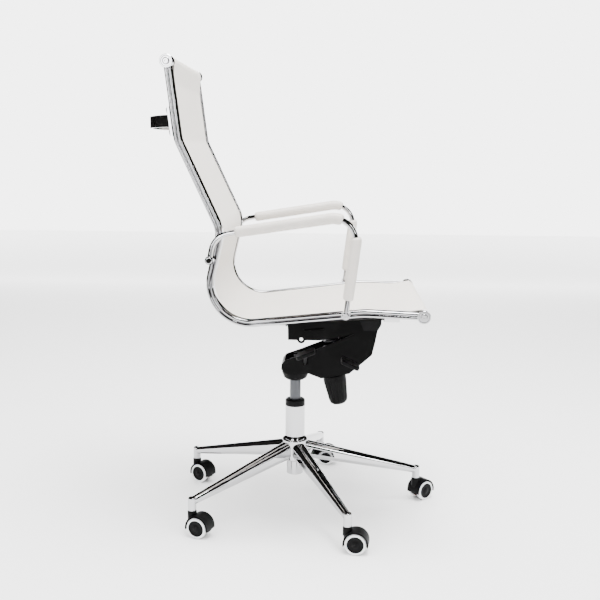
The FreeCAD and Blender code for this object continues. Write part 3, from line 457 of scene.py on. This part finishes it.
def make_sling(cloth, thread):
    """One woven sheet from slot to slot, doubled along the rails and sewn round both tubes."""
    line = even_points(sling_line(), ROW_SPACING)
    run = lengths(line)
    total = run[-1]
    columns = 72
    rows = len(line) - 1
    ways = [(line[min(i + 1, rows)] - line[max(i - 1, 0)]).normalized() for i in range(rows + 1)]
    ends = [Vector((y * MM, z * MM)) for y, z, radius in (RAIL_LINE[0], RAIL_LINE[-1])]

    def surface(u, i, lift=0.0):
        """A point of the sheet: u is from -1 to 1 across, i a row."""
        point, way = line[i], ways[i]
        near_tube = min((point - e).length for e in ends)
        inset = SLOT_DEPTH - ease((HEM_LENGTH + 14 * MM - near_tube) / (12 * MM)) * (SLOT_DEPTH + 1.4 * MM)
        half = half_width(point.x) - RAIL_WIDTH / 2 + inset
        seat = ease((215 * MM - point.x) / (120 * MM)) if point.y < 620 * MM else 0.0
        sag = (2.0 * MM + 4.0 * MM * seat) * (1 - u * u) * ease((near_tube - 20 * MM) / (110 * MM))
        from_edge = (1 - abs(u)) * half
        doubled = 0.5 * MM * (1 - ease((from_edge - BORDER) / (1.6 * MM)))
        groove = -0.35 * MM * math.exp(-((from_edge - BORDER + 3 * MM) / (1.0 * MM)) ** 2)
        left = Vector((-way.y, way.x))
        if run[i] < HEM_LENGTH * 0.9 or run[i] > total - HEM_LENGTH * 0.9:
            doubled = groove = 0.0
        at = point + left * (sag - doubled - groove - lift)
        return Vector((u * half, at.x * math.cos(TOE), at.y))

    bm = bmesh.new()
    bmesh.ops.create_grid(bm, x_segments=columns, y_segments=rows, size=0.5)
    layer = bm.loops.layers.uv.new("cloth")
    grid = {}
    for v in bm.verts:
        share = v.co.x + 0.5
        u = math.sin((share - 0.5) * math.pi) * 0.35 + (share - 0.5) * 2 * 0.65
        i = round((v.co.y + 0.5) * rows)
        grid[v] = (u, i)
    for v, (u, i) in grid.items():
        v.co = surface(u, i)
    for face in bm.faces:
        for loop in face.loops:
            u, i = grid[loop.vert]
            loop[layer].uv = (u * CLOTH_UV_HALF, run[i])
    piece = finish_mesh(bm, "sling_mesh", cloth, "seat")
    solid = piece.modifiers.new("cloth_thickness", "SOLIDIFY")
    solid.thickness = SLING_THICK * 0.9
    solid.offset = 0.0
    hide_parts("sling")

    stitches = bmesh.new()
    for side in (-1, 1):
        for i in range(1, rows):
            if run[i] < HEM_LENGTH * 2.4 or run[i] > total - HEM_LENGTH * 2.4:
                continue
            half = half_width(line[i].x) - RAIL_WIDTH / 2 + SLOT_DEPTH
            u = side * (1 - (BORDER - 3 * MM) / half)
            add_stitch(stitches, surface(u, i, SLING_THICK * 0.45), surface(u, i + 1, SLING_THICK * 0.45),
                       STITCH_LENGTH / ROW_SPACING)
    for i in (hem_row(line, HEM_SEAM, True), hem_row(line, HEM_SEAM, False)):
        count = 84
        for k in range(-count // 2, count // 2):
            a = surface(k / (count / 2) * 0.97, i, -SLING_THICK * 0.5)
            b = surface((k + 1) / (count / 2) * 0.97, i, -SLING_THICK * 0.5)
            add_stitch(stitches, a, b, 0.7)
    seam = finish_mesh(stitches, "sling_stitching", thread, "seat")
    round(sling_area(line, run), 4)
    return piece


def sling_area(line, run):
    """The flat area of the sheet, strip by strip."""
    total = 0.0
    for i in range(len(line) - 1):
        wide = 2 * (half_width((line[i].x + line[i + 1].x) / 2) - RAIL_WIDTH / 2 + SLOT_DEPTH)
        total += wide * (run[i + 1] - run[i])
    return total


def hem_row(line, back, at_start):
    """The row of the sheet that lies a little way in from a hem's edge."""
    run = lengths(line)
    wanted = back if at_start else run[-1] - back
    return min(range(1, len(line) - 1), key=lambda i: abs(run[i] - wanted))


def add_stitch(bm, start, end, share):
    """A short length of thread lying between two points."""
    middle = (start + end) / 2
    along = end - start
    if along.length < 1e-6:
        return
    spin = along.to_track_quat("Z", "Y").to_matrix().to_4x4()
    made = bmesh.ops.create_icosphere(bm, subdivisions=1, radius=0.5 * MM)
    stretch = Matrix.Diagonal((1, 1, along.length * share / MM, 1))
    bmesh.ops.transform(bm, matrix=Matrix.Translation(middle) @ spin @ stretch, verts=made["verts"])


# ---- side rails -----------------------------------------------------------------------------------
def rail_section():
    """Two rounded beads outside with a groove between them, and a plain rounded inner side."""
    points = []
    bead = RAIL_DEPTH / 4
    for middle in (-bead, bead):
        for k in range(11):
            angle = math.radians(-84 + 168 * k / 10)
            points.append((RAIL_WIDTH / 2 - bead + bead * math.cos(angle), middle + bead * math.sin(angle)))
    corner = 3.5 * MM
    for quarter, up in ((90, 1), (180, -1)):
        for k in range(7):
            angle = math.radians(quarter + 15 * k)
            points.append((corner - RAIL_WIDTH / 2 + corner * math.cos(angle),
                           up * (RAIL_DEPTH / 2 - corner) + corner * math.sin(angle)))
    return points


def make_rail(name, side, node, plating):
    """A polished side rail, with the eye at each end that the cross tubes butt against."""
    points = [p for p, way in bent_points(RAIL_LINE, 5 * MM)]
    last = len(points) - 1

    def station(i):
        way = (points[min(i + 1, last)] - points[max(i - 1, 0)]).normalized()
        left = Vector((-way.y, way.x))

        def put(a, b):
            at = points[i] + left * b
            return beside_rail(a, at.x, at.y, side)

        return put

    bm = swept(rail_section(), [station(i) for i in range(last + 1)])
    half = RAIL_WIDTH / 2
    for centre in (points[0], points[-1]):
        inner = beside_rail(-half, centre.x, centre.y, side)
        outer = beside_rail(half, centre.x, centre.y, side)
        eye = ((4.3, 0.0), (13.0, 0.0), (13.9, 0.9), (13.9, 21.1), (13.0, 22.0), (4.3, 22.0))
        add_turned(bm, [(r * MM, a * MM) for r, a in eye], inner, outer - inner, 72)
    made = finish_mesh(bm, name, plating, "seat")
    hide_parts(node)


# ---- arms -----------------------------------------------------------------------------------------
def make_sleeve(name, span, side, node, leather):
    """A sewn, padded sleeve with gathered ends and soft creases across the bends."""
    line = [p for p, way in bent_points(ARM_LINE, 3 * MM)]
    run = lengths(line)
    kept = [(p, s) for p, s in zip(line, run) if span[0] <= s <= span[1]]
    points = even_points([p for p, s in kept], 2.2 * MM)
    run = lengths(points)
    total = run[-1]
    rows = len(points) - 1
    section = rounded_section(SLEEVE_WIDTH, SLEEVE_DEPTH, 10.5 * MM, 9)
    seed = 3.7 * side + span[0] * 40

    def station(i):
        way = (points[min(i + 1, rows)] - points[max(i - 1, 0)]).normalized()
        left = Vector((-way.y, way.x))
        s = run[i]
        from_end = min(s, total - s)
        taper = 1 - 0.30 * (1 - ease(from_end / (5.5 * MM))) ** 1.6
        swell = 1 + 0.02 * math.sin(math.pi * s / total) + 0.015 * noise.noise(Vector((s * 55, seed, 0)))

        def put(a, b):
            angle = math.atan2(b, a)
            winding = 1.5 * math.sin(angle * 2 + seed)
            fold = noise.noise(Vector((s * 210 + winding, math.cos(angle) * 1.4, seed)))
            gather = math.exp(-from_end / (14 * MM)) * math.sin(angle * 13 + seed) * 0.25 * MM
            ripple = 0.45 * MM * fold * (0.5 + 0.5 * math.exp(-from_end / (40 * MM)))
            welt = -0.9 * MM * math.exp(-((angle + math.pi / 2) / 0.09) ** 2)
            size = Vector((a, b)).length
            grow = taper * swell + (ripple + gather + welt) / size
            at = points[i] + left * (-b * grow)
            return beside_rail(ARM_OFFSET + a * grow, at.x, at.y, side)

        return put

    bm = swept(section, [station(i) for i in range(rows + 1)])
    bmesh.ops.smooth_vert(bm, verts=[v for v in bm.verts], factor=0.2, use_axis_x=True, use_axis_y=True,
                          use_axis_z=True)
    piece = finish_mesh(bm, name, leather, "seat")
    soften = piece.modifiers.new("softer", "SUBSURF")
    soften.levels = 1
    soften.render_levels = 1
    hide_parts(node)
    return piece


# ---- casters --------------------------------------------------------------------------------------
def make_wheel(joint, tyre, disc):
    """A pale tyre on a recessed black disc with a hub cap, for one wheel joint."""
    node = joint["child"].replace("wheel_", "caster_").rsplit("_", 1)
    node = node[0] + "_wheel_" + node[1]
    low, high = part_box(node)
    axle = Vector(joint["pos_m"])
    axis = Vector(joint["axis"]).normalized()
    if ((low + high) / 2 - axle).dot(axis) < 0:
        axis = -axis
    inner = 8.4 * MM
    label = joint["child"]
    bm = bmesh.new()
    ring = ((19.6, 1.2), (20.2, 0.4), (21.8, 0.0), (23.4, 0.6), (24.6, 2.2), (25.0, 4.4), (25.0, 8.6),
            (24.6, 10.8), (23.4, 12.4), (21.9, 13.0), (20.3, 12.8), (19.6, 12.1))
    add_turned(bm, [(r * MM, inner + a * MM) for r, a in ring], axle, axis)
    made = finish_mesh(bm, label + "_tyre", tyre, joint["child"])
    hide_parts(node)
    bm = bmesh.new()
    plate = ((3.06, 1.0), (19.5, 1.2), (19.5, 11.9), (18.9, 12.3), (18.0, 12.2), (17.0, 11.5), (8.0, 11.2),
             (7.2, 11.9), (6.4, 12.5), (0.0, 12.8), (0.0, 12.3), (3.06, 12.3))
    add_turned(bm, [(r * MM, inner + a * MM) for r, a in plate], axle, axis)
    made = finish_mesh(bm, label + "_disc", disc, joint["child"])


# ---- stage ----------------------------------------------------------------------------------------
def make_stage():
    bm = bmesh.new()
    bmesh.ops.create_grid(bm, x_segments=2, y_segments=2, size=8.0)
    mesh = bpy.data.meshes.new("studio_floor")
    bm.to_mesh(mesh)
    bm.free()
    floor = bpy.data.objects.new("studio_floor", mesh)
    bpy.context.scene.collection.objects.link(floor)
    mesh.materials.append(studio_paper())
    world = bpy.data.worlds.new("white_room")
    bpy.context.scene.world = world
    world.use_nodes = True
    world.node_tree.nodes["Background"].inputs[0].default_value = rgb(1.0, 1.0, 1.0)
    world.node_tree.nodes["Background"].inputs[1].default_value = WHITE_LEVEL


def black_felt():
    s = Shader("black_felt", Specular_IOR_Level=0.1)
    fluff = s.noise(40.0, 3.0)
    return s.paint(s.mix(fluff, rgb(0.004, 0.004, 0.004), rgb(0.010, 0.009, 0.008)), 0.9)


def dark_card(name, corners, felt, shades_light=False):
    """A studio flag: it darkens what the plating mirrors, and is hidden from the camera."""
    bm = bmesh.new()
    bm.faces.new([bm.verts.new(c) for c in corners])
    mesh = bpy.data.meshes.new(name)
    bm.to_mesh(mesh)
    bm.free()
    card = bpy.data.objects.new(name, mesh)
    bpy.context.scene.collection.objects.link(card)
    mesh.materials.append(felt)
    card.visible_camera = False
    card.visible_diffuse = shades_light
    card.visible_shadow = shades_light


def upright(x_from, y_from, x_to, y_to, low, high):
    return ((x_from, y_from, low), (x_to, y_to, low), (x_to, y_to, high), (x_from, y_from, high))


def make_cards():
    felt = black_felt()
    far = 4.0
    top = 3.4
    dark_card("card_behind", upright(-far, -far, -far, far, 0.0, top), felt, True)
    dark_card("card_front_side", upright(-far, -far, far, -far, 0.5, top), felt, True)
    dark_card("card_rear_side", upright(-far, far, far, far, 0.15, top), felt, True)
    dark_card("card_far_top", upright(far, -far, far, far, 0.9, top), felt, True)
    dark_card("card_above", ((-far, -far, top), (far, -far, top), (far, far, top), (-far, far, top)), felt)
    near, away, lift = -1.5, -2.8, 0.005
    dark_card("card_on_floor",
              ((away, -far, lift), (near, -far, lift), (near, far, lift), (away, far, lift)), felt)


def add_light(name, place, target, size, power, tint=(1.0, 1.0, 1.0)):
    data = bpy.data.lights.new(name, "AREA")
    data.shape = "RECTANGLE"
    data.size, data.size_y = size
    data.energy = power
    data.color = tint
    lamp = bpy.data.objects.new(name, data)
    lamp.location = place
    lamp.rotation_euler = (Vector(target) - Vector(place)).to_track_quat("-Z", "Y").to_euler()
    bpy.context.scene.collection.objects.link(lamp)


def make_camera():
    """Level with the top of the back, looking at the chair's right-hand side."""
    data = bpy.data.cameras.new("side_camera")
    camera = bpy.data.objects.new("side_camera", data)
    bpy.context.scene.collection.objects.link(camera)
    yaw, pitch, roll = -0.0407, 0.1615, 0.0080
    ahead = Vector((math.cos(pitch) * math.cos(yaw), -math.cos(pitch) * math.sin(yaw), -math.sin(pitch)))
    right = Vector((-math.sin(yaw), -math.cos(yaw), 0))
    up = right.cross(ahead)
    across = right * math.cos(roll) + up * math.sin(roll)
    upward = up * math.cos(roll) - right * math.sin(roll)
    turn = Matrix((across, upward, -ahead)).transposed()
    camera.matrix_world = Matrix.Translation((-2.2438, -0.1016, 0.9009)) @ turn.to_4x4()
    data.sensor_width = 36.0
    data.lens = 54.2
    data.clip_end = 100.0
    bpy.context.scene.camera = camera


# ---- assembly -------------------------------------------------------------------------------------
CHROME = chrome()
STEEL = zinc_steel()
COAT = powder_coat()
NYLON = moulded_nylon("black_moulded_nylon", rgb(0.0014, 0.0014, 0.0015), rgb(0.0028, 0.0028, 0.0030))
GREY_NYLON = moulded_nylon("dark_grey_moulding", rgb(0.005, 0.005, 0.0055), rgb(0.008, 0.008, 0.0085))
CYLINDER = grey_cylinder_paint()
TYRE = tyre_polyurethane()
MESH = sling_mesh()
LEATHER = sleeve_leather()
THREAD = sewing_thread()

SLOT_FINISH = {"chrome": CHROME, "plain_steel": STEEL, "black_steel": COAT, "black_nylon": NYLON,
               "dark_grey_plastic": GREY_NYLON, "grey_cylinder": CYLINDER, "mesh_fabric": MESH,
               "white_leather": LEATHER, "wheel_tyre": TYRE}


def finish_cad_nodes():
    for part in frame["record"]["subparts"]:
        mesh = frame["nodes"][part["node"]].data
        mesh.materials.clear()
        mesh.materials.append(SLOT_FINISH[part["material_slot"]])


finish_cad_nodes()
make_sling(MESH, THREAD)
for hand, side in (("left", 1), ("right", -1)):
    make_rail("polished_rail_%s" % hand, side, "rail_%s" % hand, CHROME)
for label, span in (("top", TOP_SLEEVE), ("front", FRONT_SLEEVE)):
    for hand, side in (("left", 1), ("right", -1)):
        make_sleeve("arm_pad_%s_%s" % (label, hand), span, side, "arm_sleeve_%s_%s" % (label, hand), LEATHER)
for joint in frame["joints"]:
    if joint["name"].endswith("_spin"):
        make_wheel(joint, TYRE, NYLON)
make_stage()
make_cards()
add_light("overhead_box", (-0.3, -0.3, 3.0), (0, 0, 0.4), (0.9, 1.3), 150)
add_light("camera_side_box", (-3.8, 1.5, 1.1), (0, 0.2, 0.9), (0.9, 1.5), 45)
add_light("side_box", (-2.9, -2.0, 1.9), (0, 0, 0.6), (0.35, 1.4), 30)
add_light("rear_box", (-2.7, 2.2, 1.6), (0, 0, 0.6), (0.3, 1.4), 22)
make_camera()
